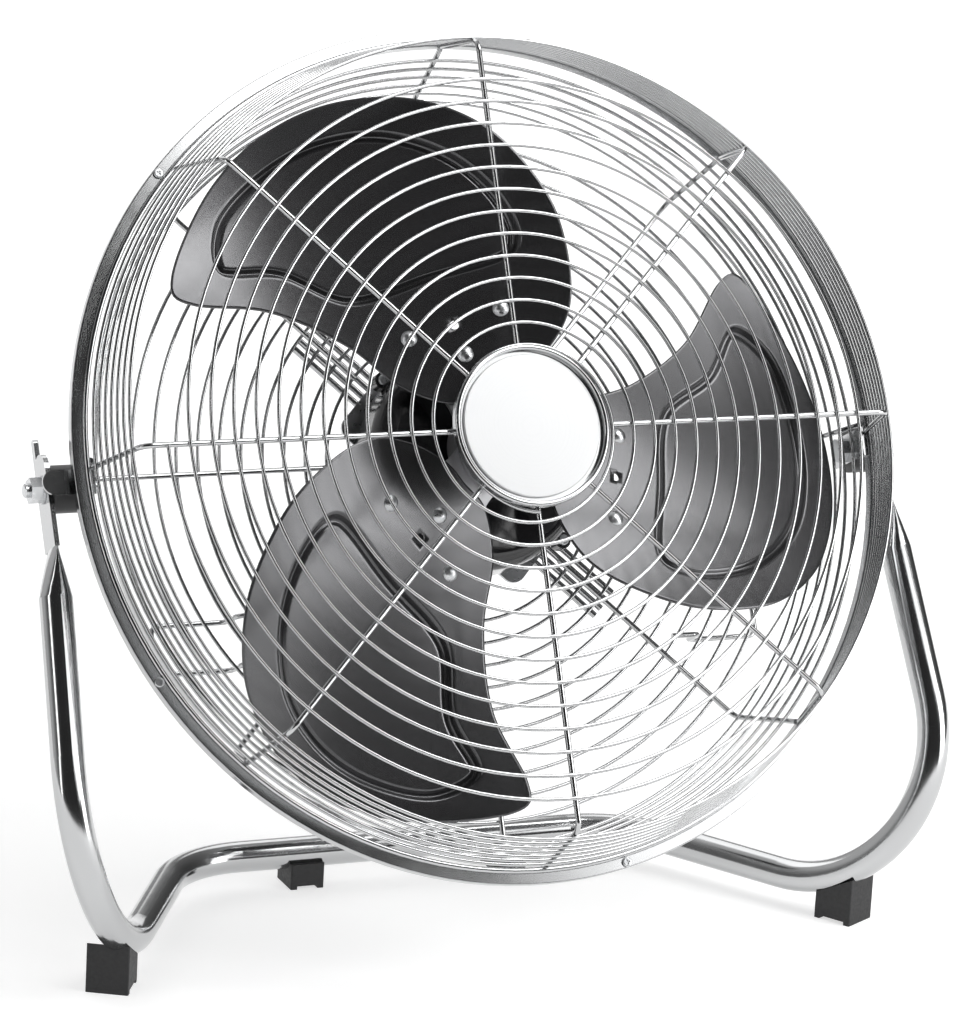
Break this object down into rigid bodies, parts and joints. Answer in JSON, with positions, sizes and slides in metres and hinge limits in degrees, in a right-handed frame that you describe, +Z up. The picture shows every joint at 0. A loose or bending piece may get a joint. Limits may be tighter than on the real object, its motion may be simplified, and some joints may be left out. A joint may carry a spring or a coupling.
{
  "type": "high-velocity floor fan",
  "caption": "Round high-velocity floor fan: wire guards on a steel rim, three pressed blades, motor, and a bent-tube stand on rubber feet with a tilting head.",
  "frame": {"origin": "on the floor at the middle of the base of the bounding box, under the middle of the head; the floor is Z = 0", "axes": "+Z up; the fan blows towards -Y and, in the stored pose, 26.6 degrees upwards; +X is to the fan's right seen from the front"},
  "size_m": [0.5506, 0.2979, 0.5186],
  "materials": {
    "polished_chrome": "polished",
    "zinc_steel": "satin",
    "badge_aluminium": "fine brushed",
    "black_plastic": "fine matt",
    "blade_paint": "satin, fine texture",
    "hub_paint": "satin",
    "motor_paint": "gloss",
    "bare_steel": "ground",
    "copper_winding": "enamelled wire",
    "black_rubber": "matt"
  },
  "bodies": {
    "stand": {"stand_tube": "polished_chrome", "foot_front_right": "black_rubber", "foot_front_left": "black_rubber", "foot_rear_right": "black_rubber", "foot_rear_left": "black_rubber"},
    "head": {"rim_front_ring": "polished_chrome", "rim_rear_ring": "polished_chrome", "rim_screws": "zinc_steel", "front_guard_coil": "polished_chrome", "front_guard_spokes": "polished_chrome", "front_guard_side_rings": "polished_chrome", "front_guard_base_ring": "polished_chrome", "rear_guard_coil": "polished_chrome", "rear_guard_spokes": "polished_chrome", "rear_guard_side_rings": "polished_chrome", "cord_hooks": "polished_chrome", "badge_bezel": "polished_chrome", "badge_disc": "badge_aluminium", "badge_base": "black_plastic", "badge_clamp": "black_plastic", "badge_screws": "zinc_steel", "motor_rear_shell": "motor_paint", "motor_front_shell": "motor_paint", "motor_bearing_rear": "bare_steel", "motor_bearing_front": "bare_steel", "stator_core": "bare_steel", "stator_windings": "copper_winding", "motor_screws": "zinc_steel", "motor_plate_screws": "zinc_steel", "motor_mount_plate": "zinc_steel", "motor_mount_rails": "polished_chrome", "rail_clamps": "zinc_steel", "rail_clamp_screws": "zinc_steel", "switch_box": "black_plastic", "box_screws": "zinc_steel", "rotary_switch": "black_plastic", "cord_gland": "black_plastic", "pivot_bracket_right": "polished_chrome", "pivot_bracket_left": "polished_chrome", "bracket_rivets": "zinc_steel", "pivot_spacers": "black_plastic", "pivot_bolts": "zinc_steel", "pivot_washers": "zinc_steel", "pivot_nuts": "zinc_steel"},
    "rotor": {"blade_1": "blade_paint", "blade_2": "blade_paint", "blade_3": "blade_paint", "blade_rivets": "zinc_steel", "hub_spider": "hub_paint", "hub_set_screw": "zinc_steel", "hub_nut": "zinc_steel", "motor_shaft": "bare_steel", "rotor_core": "bare_steel"},
    "knob": {"speed_knob": "black_plastic"}
  },
  "joints": [
    {"name": "head_tilt", "type": "hinge", "parent": "stand", "child": "head", "pos_m": [0, 0.0218, 0.2735], "axis": [-1, 0, 0], "range_deg": [-34, 60]},
    {"name": "rotor_spin", "type": "hinge", "parent": "head", "child": "rotor", "pos_m": [0, 0.00012, 0.29051], "axis": [0, -0.8942, 0.4478], "continuous": true},
    {"name": "speed_knob_turn", "type": "hinge", "parent": "head", "child": "knob", "pos_m": [0, 0.08757, 0.25342], "axis": [0, 0.8942, -0.4478], "range_deg": [0, 135]}
  ]
}
